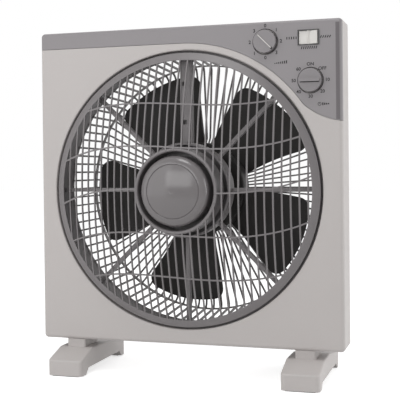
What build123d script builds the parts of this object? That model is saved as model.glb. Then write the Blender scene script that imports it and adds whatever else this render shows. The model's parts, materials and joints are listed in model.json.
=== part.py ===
"""Box fan with a turning louvre grille: every piece a separate solid.

Millimetres.  +Z is up, the fan blows towards -Y, +X is the right-hand side seen from
the front.  The origin is on the floor, under the middle of the fan's overall box.  The pieces
are built with the fan's axis at x = 0 and moved to the origin when they are saved.  Depths
are measured backwards from the flat front face of the body.
"""
from build123d import *
from math import cos, radians, sin, sqrt
import os

os.makedirs("parts", exist_ok=True)

# ---------------------------------------------------------------- driving dimensions
# Body, two shells that meet at the seam
body_width = 364.0
body_height = 368.0
body_depth = 47.5
body_shift = 1.8            # middle of the body to the right of the fan's axis
body_lift = 38.8            # floor to the underside of the body
wall = 2.5
outline_round = 4.5
front_round = 4.0
rear_round = 5.0
outline_margin = 5.0        # cutting outlines reach past the body by this much
seam_depth = 26.0
seam_gap = 0.3
fit = 0.3                   # clearance between pieces that are fitted together
seat_gap = 0.15             # clearance between a piece and the face that it seats on
running_gap = 0.05          # radial clearance of a shaft in its bore
overreach = 1.0             # blocks that build or cut reach past a face by this

# Round opening, and the louvre ring that turns in it
axis_drop = 5.3             # fan axis below the middle of the body
opening_radius = 161.3
opening_round = 1.5
collar_wall = 2.2
collar_depth = 10.0
ring_radius = 158.5
ring_face = 8.7             # radial width of the ring's sloping face
ring_rise = 5.0             # inner edge of the ring stands in front of its outer edge
ring_wall = 2.2
ring_depth = 9.0
ring_land = 1.0             # narrow flat along the ring's inner edge
ring_step = 0.6

# Louvre grille
slat_pitch = 9.2
slat_shift = -1.5           # middle slat to the left of the axis
slat_width = 1.5
slat_depth = 2.6
cross_rib_pitch = 49.3
cross_rib_width = 1.7
cross_rib_sweep = 16.0      # a cross rib's end, above or below its middle
cross_rib_bend = 1.6        # how strongly a cross rib swings back before its end
dome_radius = 376.0
hub_radius = 49.0
hub_wall = 4.3
hub_front = 33.3            # hub rim in front of the body's face
hub_back = -4.5
hub_floor = 2.5
cap_radius = 39.65
cap_reach = 47.0            # cap in front of the body's face
cap_edge_reach = 34.5
cap_crease_radius = 30.4
cap_crease_reach = 42.5
cap_wall = 2.0
cap_edge_swell = (2.6, 4.9)  # middle of the cap's rounded edge, in and forwards
cap_groove = 0.6
louvre_screw_depth = 12.0
louvre_screw_head_radius = 5.0

# Frame behind the louvre: drum, arms and the dish for the louvre motor
drum_radius = 158.0         # inside
drum_wall = 2.5
drum_depth = 39.0
flange_radius = 166.0
flange_thick = 2.5
arm_front = 12.0
arm_depth = 8.0
arm_width = 4.2
arm_count = 8
channel_width = 14.0
channel_wall = 1.6
dish_radius = 55.0
dish_wall = 2.4
dish_front = -1.0
lug_radius = 6.5
lug_circle = 170.0
lug_angles = (45, 135, 225, 315)
cover_thick = 1.4
snap_window = 5.0           # square snap windows in the lead cover
snap_windows = (79.0, 124.0)
snap_offset = -2.0

# Louvre motor, a flat synchronous motor in the dish
louvre_motor_radius = 24.5
louvre_motor_depth = 14.0
louvre_motor_round = 1.5
louvre_shaft_radius = 3.5
louvre_boss_radius = 9.0
louvre_boss_front = -20.0
motor_ear_reach = 29.5
motor_ear_radius = 4.0
motor_ear_thick = 1.4
ear_post_height = 7.0
louvre_bore_depth = 6.0

# Fan blade
blade_count = 5
blade_phase = 45.0
blade_root_span = 54.0      # angle that one blade covers at the hub
blade_span = 48.0           # and at its middle
blade_middle_radius = 95.0
blade_low_tip = (141.5, -25.5)   # outer corners, as a radius and an angle
blade_high_tip = (135.0, 21.5)
blade_tip_radius = 138.0    # middle of the blade's end
blade_corner = 13.0
blade_stations = (44.0, 72.0, 96.0, 122.0, 149.0)
blade_margin = 14.0         # loft wider than the blade's own outline
blade_block_margin = 5.0    # outline block deeper than the blade, on either side
blade_thick = 2.0
blade_front = 62.0
blade_depth = 27.0
fan_hub_radius = 56.0
fan_hub_wall = 2.5
fan_hub_depth = 25.0
fan_boss_radius = 9.0
fan_hub_round = 2.2
fan_boss_gap = 1.2          # fan's boss in front of the motor
nut_radius = 12.0
nut_reach = 3.0             # nut in front of the fan's hub
nut_cap = 1.0               # the nut's closed front
nut_bevel = (4.0, 1.0)

# Fan motor
shaft_radius = 4.0
motor_radius = 40.0
motor_front = 68.0
motor_bell_depth = 7.0
stack_depth = 11.0
bell_wall = 1.6
bearing_radius = 7.0
bearing_depth = 6.0
rotor_radius = 22.0
air_gap = 0.5
stator_slots = 8
stator_slot = (7.0, 4.4)
motor_screw_circle = 43.0
motor_screw_count = 4
motor_screw_phase = 45
motor_ear_half_width = 6.0
motor_screw_length = 6.5
bell_chamfer = 3.0
coil_margin = 3.0           # windings stand clear of the rotor and of the bell
coil_depth = 4.5
thread_radius = 3.5

# Rear grille, a basket of radial wires
grille_rim_depth = 4.7
grille_flat = 106.0         # depth of the back of the flat part
grille_taper = 5.0          # side wall is this much smaller at the back
grille_round = 8.0          # corner between the side wall and the flat part
grille_step_radius = 62.0   # inside it the wires run forwards to the motor plate
rim_overlap = 1.0           # wires reach into the rim by this
wire_count = 94
wire_width = 1.9
wire_depth = 2.4
wire_ring_width = 1.6
wire_rings = (86.0, 128.5, 152.5)
motor_plate_radius = 50.5
plate_hole_radius = 12.0
motor_cover_radius = 49.5
motor_cover_depth = 10.0
motor_cover_wall = 2.0
motor_cover_bevel = (10.0, 5.0)
cover_vent = (5.0, 2.2)
cover_vent_rings = ((14.0, 8), (23.0, 14), (32.0, 20))
well_radius = 161.0
well_wall = 2.5
well_lug_width = 10.0
well_lug_depth = 2.7
well_lug_height = 2.4
well_lug_angles = (30, 90, 150, 210, 270, 330)

# Control panel and controls, placed from the middle of the body
panel_thick = 3.0
panel_seat = 2.5
panel_gap = 0.5             # groove between the panel and the body
band_height = 19.5          # the panel's narrow band along the top
panel_arc_radius = 169.8    # about the fan axis
panel_end_drop = 112.7      # top of the body to where the panel meets the right side
panel_end_radius = 49.7
panel_arc_angle = 65        # where the panel's arc is pinned, from the right
panel_end_mid = (0.51, 0.14)
speed_place = (97.7, 161.3)
timer_place = (148.3, 116.5)
rocker_place = (146.4, 164.0)
knob_radius = 13.0
knob_reach = 6.0
knob_wall = 1.8
knob_gap = 1.1
knob_boss_radius = 5.0
control_shaft_radius = 3.0
pointer_width = 1.0
pointer_rise = 0.5
pointer_angle = 135.0
grip_width = 3.4
grip_rise = 3.0
rocker_radius = 10.6
rocker_height = 14.4
rocker_tilt = 8.0
rocker_pivot_depth = 1.0
rocker_valley_reach = 0.65
rocker_back_depth = 6.0
switch_cavity_depth = 9.0
switch_depth = 18.0
switch_wall = 0.7
switch_flange = 0.4
switch_flange_thick = 1.0
speed_switch_size = 28.0
speed_switch_depth = 15.0
timer_case_size = 32.0
timer_case_depth = 24.0
control_bore_depth = 8.0
knob_skirt_draft = 0.4
switch_tab = (0.8, 6.3)
switch_tab_length = 8.0
switch_tab_pitch = 7.0
rocker_pin_radius = 1.5

# Fasteners
boss_radius = 6.0
boss_inset = 12.0           # housing screw from the body's sides
screw_radius = 1.9
screw_head_radius = 3.6
screw_head_height = 2.4
housing_screw_seat = 30.0
housing_screw_length = 22.0
frame_screw_length = 8.0
small_screw_radius = 1.4
small_head_radius = 2.6
small_head_height = 1.6

# Feet
foot_spacing = 278.0
foot_width = 43.4
foot_front = -31.0
foot_back = 107.0
foot_nose_height = 18.8
foot_crown_height = 29.0
foot_round = 5.0
foot_edge_round = 2.0
foot_arch = 7.0
foot_toe = 13.0
post_width = 23.0
post_front = 3.0
post_back = 42.0
foot_screw_depths = (13.0, 34.0)
foot_screw_head_seat = 28.0
foot_screw_length = 20.0
foot_boss_radius = 5.0
foot_boss_height = 16.0
pad_thick = 3.0
pad_standoff = 1.0          # foot's own underside above the floor
pad_length = 9.0
pad_width = 33.0
pad_pocket = 2.0

# Electrics on the floor of the body
capacitor_size = (34.0, 24.0, 17.0)
capacitor_place = -88.0
capacitor_round = 1.5
terminal_size = (36.0, 14.0, 12.0)
terminal_place = 92.0
terminal_count = 4
terminal_hole_radius = 2.0
terminal_groove = 1.0
electrics_depth = 8.0
inlet_radius = 6.0
inlet_bore_radius = 3.4
inlet_lip = 1.6
inlet_lip_thick = 1.2
inlet_place = (112.0, -158.0)

# ---------------------------------------------------------------- shared places
face_y = (cap_reach - foot_back) / 2
body_mid_z = body_lift + body_height / 2
axis_z = body_mid_z - axis_drop
fan_axis = Axis((0, face_y, axis_z), (0, 1, 0))
spin_plane = Plane(origin=(0, face_y, axis_z), x_dir=(1, 0, 0), z_dir=(0, 0, 1))
front_housing_depth = seam_depth - seam_gap / 2
arm_back = arm_front + arm_depth
dish_floor = arm_back - dish_wall
flange_front = collar_depth + fit
stack_front = motor_front + motor_bell_depth
stack_back = stack_front + stack_depth
motor_back = stack_back + motor_bell_depth
plate_back = motor_back + wire_depth
boss_x = body_width / 2 - boss_inset
boss_z = body_height / 2 - boss_inset
corner_places = [
    (body_shift + boss_x * side, boss_z * level) for level in (-1, 1) for side in (-1, 1)
]
panel_back = panel_thick + seat_gap
seat_back = panel_back + panel_seat


def facing(depth):
    """Plane across the fan axis at a depth, looking out of the front."""
    return Plane(origin=(0, face_y + depth, axis_z), x_dir=(1, 0, 0), z_dir=(0, -1, 0))


def on_body(depth):
    """The same, centred on the body instead of on the fan axis."""
    return Plane(origin=(0, face_y + depth, body_mid_z), x_dir=(1, 0, 0), z_dir=(0, -1, 0))


def radial(angle):
    """Plane through the fan axis: X is outwards at this angle, Y is the depth."""
    out = (cos(radians(angle)), 0, sin(radians(angle)))
    across = (-sin(radians(angle)), 0, cos(radians(angle)))
    return Plane(origin=(0, face_y, axis_z), x_dir=out, z_dir=across)


def polar_place(radius, angle):
    """Point of a facing plane at a radius and an angle."""
    return (radius * cos(radians(angle)), radius * sin(radians(angle)))


def dome_reach(radius):
    """How far the louvre's dome stands in front of the body's face at a radius."""
    return hub_front + sqrt(dome_radius**2 - radius**2) - sqrt(dome_radius**2 - hub_radius**2)


def save(part, name):
    """Move a finished piece to the origin, label it and write it under its own name."""
    placed = part.moved(Location((-body_shift, 0, 0)))
    placed.label = name
    export_step(placed, f"parts/{name}.step")


def screw(place_plane, places, shank, length, head, head_height):
    """A group of screws: heads behind the plane, shanks in front of it."""
    with BuildPart() as screws:
        with BuildSketch(place_plane):
            with Locations(*places):
                Circle(shank)
        extrude(amount=length)
        with BuildSketch(place_plane):
            with Locations(*places):
                Circle(head)
        extrude(amount=-head_height)
        with BuildSketch(place_plane.offset(-head_height)):
            with Locations(*places):
                Rectangle(head * 1.2, head * 0.3)
                Rectangle(head * 0.3, head * 1.2)
        extrude(amount=head_height / 2, mode=Mode.SUBTRACT)
    return screws.part


# ---------------------------------------------------------------- body forms
def front_form(inset):
    """Outer form of the front half, or its hollow when inset by the wall."""
    with BuildPart() as form:
        with BuildSketch(on_body(inset)):
            with Locations((body_shift, 0)):
                RectangleRounded(
                    body_width - 2 * inset, body_height - 2 * inset, outline_round - inset / 2
                )
        extrude(amount=inset - front_housing_depth)
        if inset == 0:
            fillet(form.faces().sort_by(Axis.Y)[0].edges(), front_round)
    return form.part


def rear_form(inset):
    """Outer form of the rear half, or its hollow when inset by the wall."""
    half_width = body_width / 2 - inset
    half_height = body_height / 2 - inset
    front = face_y + seam_depth + seam_gap / 2
    back = face_y + body_depth - inset
    bend = rear_round - inset
    with BuildPart() as form:
        with BuildSketch(on_body(seam_depth + seam_gap / 2)):
            with Locations((body_shift, 0)):
                RectangleRounded(2 * half_width, 2 * half_height, outline_round - inset / 2)
        extrude(amount=-(back - front))
        with BuildSketch(Plane.XY.offset(body_mid_z)):
            with Locations((body_shift, (front + back) / 2)):
                rectangle = Rectangle(2 * half_width, back - front)
            fillet(rectangle.vertices().group_by(Axis.Y)[-1], bend)
        extrude(amount=half_height, both=True, mode=Mode.INTERSECT)
        with BuildSketch(Plane.YZ.offset(body_shift)):
            with Locations(((front + back) / 2, body_mid_z)):
                rectangle = Rectangle(back - front, 2 * half_height)
            fillet(rectangle.vertices().group_by(Axis.X)[-1], bend)
        extrude(amount=half_width, both=True, mode=Mode.INTERSECT)
    return form.part


def panel_outline(grow):
    """Face of the control panel: a band along the top and a wide right-hand corner."""
    half_width = body_width / 2 + body_shift + outline_margin
    top = body_height / 2 + outline_margin
    band = body_height / 2 - band_height - grow
    arc = panel_arc_radius - grow
    end_z = body_height / 2 - panel_end_drop - grow
    end_centre = (body_width / 2 + body_shift, end_z + panel_end_radius)
    centre_gap = sqrt(end_centre[0] ** 2 + (end_centre[1] + axis_drop) ** 2)
    share = arc / centre_gap
    meet = (end_centre[0] * share, (end_centre[1] + axis_drop) * share - axis_drop)
    arc_mid_angle = radians(panel_arc_angle)
    arc_mid = (arc * cos(arc_mid_angle), arc * sin(arc_mid_angle) - axis_drop)
    with BuildSketch(on_body(-overreach)) as face:
        with BuildLine():
            Line((-half_width, band), (0, band))
            ThreePointArc((0, band), arc_mid, meet)
            ThreePointArc(
                meet,
                (
                    end_centre[0] - panel_end_radius * panel_end_mid[0],
                    end_z + panel_end_radius * panel_end_mid[1],
                ),
                (end_centre[0], end_z),
            )
            Line((end_centre[0], end_z), (half_width, end_z))
            Line((half_width, end_z), (half_width, top))
            Line((half_width, top), (-half_width, top))
            Line((-half_width, top), (-half_width, band))
        make_face()
    return face.sketch


cavity_width = 2 * (rocker_radius + fit)
cavity_height = rocker_height + 2 * fit
window_width = cavity_width + 2 * switch_wall + fit
window_height = cavity_height + 2 * switch_wall + fit

front_block = front_form(0)
front_hollow = front_form(wall)
rear_block = rear_form(0)
rear_hollow = rear_form(wall)
panel_face = panel_outline(0)
panel_pocket_face = panel_outline(panel_gap)

# ---------------------------------------------------------------- front housing
lug_places = [polar_place(lug_circle, angle) for angle in lug_angles]
foot_centres = (-foot_spacing / 2, foot_spacing / 2)
body_floor = body_lift + wall

with BuildPart() as front_housing:
    add(front_block)
    add(front_hollow, mode=Mode.SUBTRACT)
    # seat behind the control panel, and bosses for the housing and frame screws
    extrude(panel_pocket_face, amount=-(seat_back + overreach))
    with BuildSketch(on_body(front_housing_depth)):
        with Locations(*corner_places):
            Circle(boss_radius)
    extrude(amount=front_housing_depth - wall / 2)
    with BuildSketch(facing(flange_front)):
        with Locations(*lug_places):
            Circle(lug_radius)
    extrude(amount=flange_front - wall / 2)
    add(front_block, mode=Mode.INTERSECT)
    # pocket for the control panel
    extrude(panel_pocket_face, amount=-(panel_back + overreach), mode=Mode.SUBTRACT)
    # bosses over the feet
    for foot_x in foot_centres:
        with BuildSketch(Plane.XY.offset(body_lift)):
            with Locations((foot_x, face_y + foot_screw_depths[0])):
                Circle(foot_boss_radius)
        extrude(amount=foot_boss_height)
        with BuildSketch(Plane.XY.offset(body_lift)):
            with Locations((foot_x, face_y + foot_screw_depths[0])):
                Circle(screw_radius + running_gap)
        extrude(amount=foot_boss_height - wall, mode=Mode.SUBTRACT)
    # round opening with its collar
    with BuildSketch(facing(wall)):
        Circle(opening_radius + collar_wall)
    extrude(amount=-(collar_depth - wall))
    with BuildSketch(facing(0)):
        Circle(opening_radius)
    extrude(amount=-collar_depth, mode=Mode.SUBTRACT)
    opening_edges = front_housing.edges().filter_by(GeomType.CIRCLE)
    mouth_edges = opening_edges.filter_by(lambda edge: abs(edge.radius - opening_radius) < 0.01)
    fillet(mouth_edges.sort_by(Axis.Y)[0], opening_round)
    # screw bores
    with BuildSketch(on_body(front_housing_depth)):
        with Locations(*corner_places):
            Circle(screw_radius + running_gap)
    extrude(
        amount=housing_screw_length + front_housing_depth - housing_screw_seat + fit,
        mode=Mode.SUBTRACT,
    )
    with BuildSketch(facing(flange_front)):
        with Locations(*lug_places):
            Circle(screw_radius + running_gap)
    extrude(amount=frame_screw_length - flange_thick + fit, mode=Mode.SUBTRACT)
    # control openings
    with BuildSketch(on_body(panel_back)):
        with Locations(speed_place, timer_place):
            Circle(control_shaft_radius + knob_gap)
        with Locations(rocker_place):
            Rectangle(window_width, window_height)
    extrude(amount=-(panel_seat + overreach), mode=Mode.SUBTRACT)
save(front_housing.part, "front_housing")

# ---------------------------------------------------------------- control panel
with BuildPart() as control_panel:
    extrude(panel_face, amount=-(panel_thick + overreach))
    add(front_block, mode=Mode.INTERSECT)
    with BuildSketch(on_body(0)):
        with Locations(speed_place, timer_place):
            Circle(knob_radius + knob_gap)
        with Locations(rocker_place):
            Rectangle(window_width, window_height)
    extrude(amount=-panel_thick, mode=Mode.SUBTRACT)
save(control_panel.part, "control_panel")

# ---------------------------------------------------------------- rear housing
rear_lug_front = drum_depth + fit + grille_rim_depth + seat_gap

with BuildPart() as rear_housing:
    add(rear_block)
    add(rear_hollow, mode=Mode.SUBTRACT)
    with BuildSketch(facing(seam_depth + overreach)):
        Circle(well_radius + well_wall)
    extrude(amount=-(body_depth - seam_depth - overreach))
    with BuildSketch(on_body(seam_depth)):
        with Locations(*corner_places):
            Circle(boss_radius)
    extrude(amount=-(body_depth - seam_depth - overreach))
    with BuildSketch(Plane.XY.offset(body_lift)):
        with Locations(*[(foot_x, face_y + foot_screw_depths[1]) for foot_x in foot_centres]):
            Circle(foot_boss_radius)
    extrude(amount=foot_boss_height)
    add(rear_block, mode=Mode.INTERSECT)
    with BuildSketch(facing(seam_depth)):
        Circle(well_radius)
    extrude(amount=-(body_depth - seam_depth), mode=Mode.SUBTRACT)
    rear_edges = rear_housing.edges().filter_by(GeomType.CIRCLE)
    mouth = rear_edges.filter_by(lambda edge: abs(edge.radius - well_radius) < 0.01)
    fillet(mouth.sort_by(Axis.Y)[-1], well_wall * 0.9)
    # lugs that hold the rear grille against the drum
    for angle in well_lug_angles:
        with BuildSketch(radial(angle)):
            with Locations((well_radius - well_lug_height, rear_lug_front)):
                Rectangle(
                    well_lug_height + well_wall / 2, well_lug_depth, align=(Align.MIN, Align.MIN)
                )
        extrude(amount=well_lug_width / 2, both=True)
    # screw recesses and bores
    with BuildSketch(on_body(body_depth)):
        with Locations(*corner_places):
            Circle(screw_head_radius + fit)
    extrude(amount=body_depth - housing_screw_seat, mode=Mode.SUBTRACT)
    with BuildSketch(on_body(body_depth)):
        with Locations(*corner_places):
            Circle(screw_radius + running_gap)
    extrude(amount=body_depth - seam_depth, mode=Mode.SUBTRACT)
    with BuildSketch(Plane.XY.offset(body_lift)):
        with Locations(*[(foot_x, face_y + foot_screw_depths[1]) for foot_x in foot_centres]):
            Circle(screw_radius + running_gap)
    extrude(amount=foot_boss_height - wall, mode=Mode.SUBTRACT)
    # hole for the mains inlet bushing
    with BuildSketch(on_body(body_depth)):
        with Locations(inlet_place):
            Circle(inlet_radius)
    extrude(amount=wall + overreach, mode=Mode.SUBTRACT)
save(rear_housing.part, "rear_housing")

# ---------------------------------------------------------------- inner frame
channel_inner = channel_width - 2 * channel_wall
channel_back = arm_back - channel_wall
cover_front = arm_front + seat_gap
motor_face = dish_floor - louvre_motor_depth
ear_back = dish_floor - ear_post_height
ear_places = [(-motor_ear_reach, 0), (motor_ear_reach, 0)]

with BuildPart() as inner_frame:
    # drum with its mounting flange
    with BuildSketch(spin_plane):
        with Locations((drum_radius, flange_front)):
            Rectangle(drum_wall, drum_depth - flange_front, align=(Align.MIN, Align.MIN))
            Rectangle(flange_radius - drum_radius, flange_thick, align=(Align.MIN, Align.MIN))
    revolve(axis=fan_axis)
    with BuildSketch(facing(flange_front)):
        with Locations(*lug_places):
            Circle(lug_radius)
        Circle(drum_radius + drum_wall / 2, mode=Mode.SUBTRACT)
    extrude(amount=-flange_thick)
    # dish for the louvre motor
    with BuildSketch(facing(dish_front)):
        Circle(dish_radius)
    extrude(amount=dish_front - arm_back)
    # arms; the upright one is a wide channel for the louvre motor's leads
    for number in range(arm_count):
        angle = 90 + number * 360 / arm_count
        with BuildSketch(radial(angle)):
            with Locations((dish_radius - dish_wall, arm_front)):
                Rectangle(
                    drum_radius + drum_wall / 2 - dish_radius + dish_wall,
                    arm_depth,
                    align=(Align.MIN, Align.MIN),
                )
        extrude(amount=(channel_width if number == 0 else arm_width) / 2, both=True)
    with BuildSketch(facing(arm_front - overreach)):
        with Locations((0, dish_radius - dish_wall)):
            Rectangle(
                channel_inner,
                drum_radius - dish_radius + dish_wall,
                align=(Align.CENTER, Align.MIN),
            )
    extrude(amount=arm_front - overreach - channel_back, mode=Mode.SUBTRACT)
    with BuildSketch(facing(dish_front)):
        Circle(dish_radius - dish_wall)
    extrude(amount=dish_front - dish_floor, mode=Mode.SUBTRACT)
    with BuildSketch(facing(dish_floor)):
        with Locations(*ear_places):
            Circle(motor_ear_radius)
    extrude(amount=ear_post_height)
    # screw bores
    with BuildSketch(facing(flange_front)):
        with Locations(*lug_places):
            Circle(screw_radius + running_gap)
    extrude(amount=-flange_thick, mode=Mode.SUBTRACT)
    with BuildSketch(facing(ear_back)):
        with Locations(*ear_places):
            Circle(small_screw_radius + running_gap)
    extrude(amount=-ear_post_height, mode=Mode.SUBTRACT)
save(inner_frame.part, "inner_frame")

# cover of the channel, with two square snap windows
with BuildPart() as lead_cover:
    with BuildSketch(facing(cover_front)):
        with Locations((0, dish_radius + fit)):
            Rectangle(
                channel_inner - 2 * fit,
                drum_radius - dish_radius - 2 * fit,
                align=(Align.CENTER, Align.MIN),
            )
        with Locations(*[(snap_offset, height) for height in snap_windows]):
            Rectangle(snap_window, snap_window, mode=Mode.SUBTRACT)
    extrude(amount=-cover_thick)
    with BuildSketch(facing(cover_front + cover_thick)):
        with Locations(*[(0, height + snap_window) for height in snap_windows]):
            Rectangle(channel_inner - 2 * fit, channel_wall)
    extrude(amount=cover_front + cover_thick - channel_back + seat_gap)
save(lead_cover.part, "lead_cover")

save(
    screw(
        facing(flange_front + flange_thick),
        lug_places,
        screw_radius,
        frame_screw_length,
        screw_head_radius,
        screw_head_height,
    ),
    "frame_screws",
)

# ---------------------------------------------------------------- louvre motor
with BuildPart() as louvre_motor:
    with BuildSketch(facing(motor_face)):
        Circle(louvre_motor_radius)
    extrude(amount=seat_gap - louvre_motor_depth)
    fillet(louvre_motor.faces().sort_by(Axis.Y)[0].edges(), louvre_motor_round)
    with BuildSketch(facing(ear_back - seat_gap - motor_ear_thick)):
        SlotCenterToCenter(2 * motor_ear_reach, 2 * motor_ear_radius)
    extrude(amount=-motor_ear_thick)
    with BuildSketch(facing(ear_back - seat_gap - motor_ear_thick)):
        with Locations(*ear_places):
            Circle(small_screw_radius + running_gap)
    extrude(amount=-motor_ear_thick, mode=Mode.SUBTRACT)
    with BuildSketch(facing(motor_face)):
        Circle(louvre_shaft_radius + running_gap)
    extrude(amount=-louvre_bore_depth, mode=Mode.SUBTRACT)
save(louvre_motor.part, "louvre_motor")

save(
    screw(
        facing(ear_back - seat_gap - motor_ear_thick),
        ear_places,
        small_screw_radius,
        -(ear_post_height + motor_ear_thick - fit),
        small_head_radius,
        -small_head_height,
    ),
    "louvre_motor_screws",
)

# ---------------------------------------------------------------- louvre, turns on the motor's shaft
louvre_shaft_front = louvre_boss_front + fit
with BuildPart() as louvre_shaft:
    with BuildSketch(facing(louvre_shaft_front)):
        Circle(louvre_shaft_radius)
    extrude(amount=louvre_shaft_front - motor_face - louvre_bore_depth + fit)
    with BuildSketch(facing(louvre_shaft_front)):
        Circle(small_screw_radius + running_gap)
    extrude(amount=-louvre_screw_depth, mode=Mode.SUBTRACT)
save(louvre_shaft.part, "louvre_shaft")


def cross_rib_height(x):
    """Gentle S of a cross rib: down, up, down and up again from left to right."""
    end = ring_radius - ring_face
    return cross_rib_sweep * (x / end) * (cross_rib_bend * (x / end) ** 2 - cross_rib_bend + 1)


ring_inner = ring_radius - ring_face
louvre_dome_end = ring_inner + ring_land
slat_count = int((ring_inner - slat_width / 2) // slat_pitch)
slat_rows = [slat_shift + slat_pitch * number for number in range(-slat_count, slat_count + 1)]
slat_places = [place for place in slat_rows if abs(place) < ring_inner - 2 * slat_width]
cross_rib_places = [cross_rib_pitch * number for number in range(-2, 3)]
rib_stations = [ring_inner * share / 4 for share in range(-4, 5)]

with BuildPart() as louvre_grille:
    # slats and cross ribs, cut to a thin dome
    with BuildSketch(facing(-cap_reach)):
        with Locations(*[(place, 0) for place in slat_places]):
            Rectangle(slat_width, 2 * ring_radius)
        for height in cross_rib_places:
            with BuildLine() as rib_line:
                Spline(*[(x, height + cross_rib_height(x)) for x in rib_stations])
            trace(rib_line.line, line_width=cross_rib_width)
        Circle(louvre_dome_end, mode=Mode.INTERSECT)
        Circle(hub_radius - hub_wall / 2, mode=Mode.SUBTRACT)
    extrude(amount=-cap_reach - ring_depth)
    with BuildSketch(spin_plane):
        with BuildLine():
            dome = [
                (radius, -dome_reach(radius))
                for radius in (hub_radius - hub_wall, ring_inner / 2 + hub_radius / 2, ring_radius)
            ]
            back = [(radius, depth + slat_depth) for radius, depth in dome]
            ThreePointArc(*dome)
            Line(dome[2], back[2])
            ThreePointArc(back[2], back[1], back[0])
            Line(back[0], dome[0])
        make_face()
    revolve(axis=fan_axis, mode=Mode.INTERSECT)
    # sloping ring with its skirt
    with BuildSketch(spin_plane):
        with BuildLine():
            Polyline(
                (ring_radius, ring_depth),
                (ring_radius, 0),
                (ring_inner + ring_land, -ring_rise),
                (ring_inner, -ring_rise),
                (ring_inner, ring_wall - ring_rise),
                (ring_radius - ring_wall, ring_wall + ring_step),
                (ring_radius - ring_wall, ring_depth),
                close=True,
            )
        make_face()
    revolve(axis=fan_axis)
    # hub: rim, floor and the boss on the shaft
    with BuildSketch(spin_plane):
        with Locations((hub_radius - hub_wall, -hub_front)):
            rim = Rectangle(hub_wall, hub_front + hub_back, align=(Align.MIN, Align.MIN))
        fillet(rim.vertices().group_by(Axis.Y)[0], hub_wall * 0.45)
        with Locations((0, hub_back - hub_floor)):
            Rectangle(hub_radius - hub_wall / 2, hub_floor, align=(Align.MIN, Align.MIN))
        with Locations((0, louvre_boss_front)):
            Rectangle(
                louvre_boss_radius, hub_back - louvre_boss_front, align=(Align.MIN, Align.MIN)
            )
    revolve(axis=fan_axis)
    with BuildSketch(facing(louvre_boss_front)):
        Circle(louvre_shaft_radius + running_gap)
    extrude(amount=louvre_boss_front - hub_back, mode=Mode.SUBTRACT)
save(louvre_grille.part, "louvre_grille")

save(
    screw(
        facing(louvre_boss_front - seat_gap),
        [(0, 0)],
        small_screw_radius,
        -(louvre_screw_depth - fit),
        louvre_screw_head_radius,
        -screw_head_height,
    ),
    "louvre_screw",
)

cap_back = hub_back - hub_floor - seat_gap
cap_inner = cap_radius - cap_wall
cap_ceiling = cap_wall - cap_crease_reach + cap_groove
crown_rise = cap_reach - cap_crease_reach
crown_radius = ((cap_crease_radius - cap_groove) ** 2 + crown_rise**2) / (2 * crown_rise)
crown_mid = cap_crease_radius / 2
crown_mid_depth = crown_radius - cap_reach - sqrt(crown_radius**2 - crown_mid**2)
with BuildPart() as louvre_cap:
    with BuildSketch(spin_plane):
        with BuildLine():
            edge = (cap_radius, -cap_edge_reach)
            outer_lip = (cap_crease_radius + cap_groove, -cap_crease_reach)
            groove = (cap_crease_radius, cap_groove - cap_crease_reach)
            inner_lip = (cap_crease_radius - cap_groove, -cap_crease_reach)
            ThreePointArc(
                edge,
                (cap_radius - cap_edge_swell[0], -cap_edge_reach - cap_edge_swell[1]),
                outer_lip,
            )
            Polyline(outer_lip, groove, inner_lip)
            ThreePointArc(inner_lip, (crown_mid, crown_mid_depth), (0, -cap_reach))
            Polyline(
                (0, -cap_reach),
                (0, cap_wall + fit - cap_reach),
                (cap_crease_radius - cap_wall, cap_ceiling),
                (cap_inner, -cap_edge_reach),
                (cap_inner, cap_back),
                (cap_radius, cap_back),
                edge,
            )
        make_face()
    revolve(axis=fan_axis)
save(louvre_cap.part, "louvre_cap")

# ---------------------------------------------------------------- fan blade
nut_front = blade_front - nut_reach
blade_root_radius = fan_hub_radius - fan_hub_wall / 2
with BuildPart() as one_blade:
    for station in blade_stations:
        chord = 2 * station * sin(radians(blade_root_span / 2))
        length = sqrt(chord**2 + blade_depth**2)
        lean = Plane(
            origin=(station, face_y + blade_front + blade_depth / 2, axis_z),
            x_dir=(0, -blade_depth / length, chord / length),
            z_dir=(1, 0, 0),
        )
        with BuildSketch(lean):
            Rectangle(chord + blade_margin, blade_thick)
    loft()
    with BuildSketch(facing(blade_front - blade_block_margin)):
        with BuildLine():
            low = polar_place(blade_root_radius, -blade_root_span / 2)
            high = polar_place(blade_root_radius, blade_root_span / 2)
            low_tip = polar_place(*blade_low_tip)
            high_tip = polar_place(*blade_high_tip)
            ThreePointArc(low, polar_place(blade_middle_radius, -blade_span / 2), low_tip)
            ThreePointArc(low_tip, (blade_tip_radius, 0), high_tip)
            ThreePointArc(high_tip, polar_place(blade_middle_radius, blade_span / 2), high)
            ThreePointArc(high, (blade_root_radius, 0), low)
        outline = make_face()
        corners = outline.vertices().sort_by(Axis.X)[-2:]
        fillet(corners, blade_corner)
    extrude(amount=-blade_depth - 2 * blade_block_margin, mode=Mode.INTERSECT)

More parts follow.
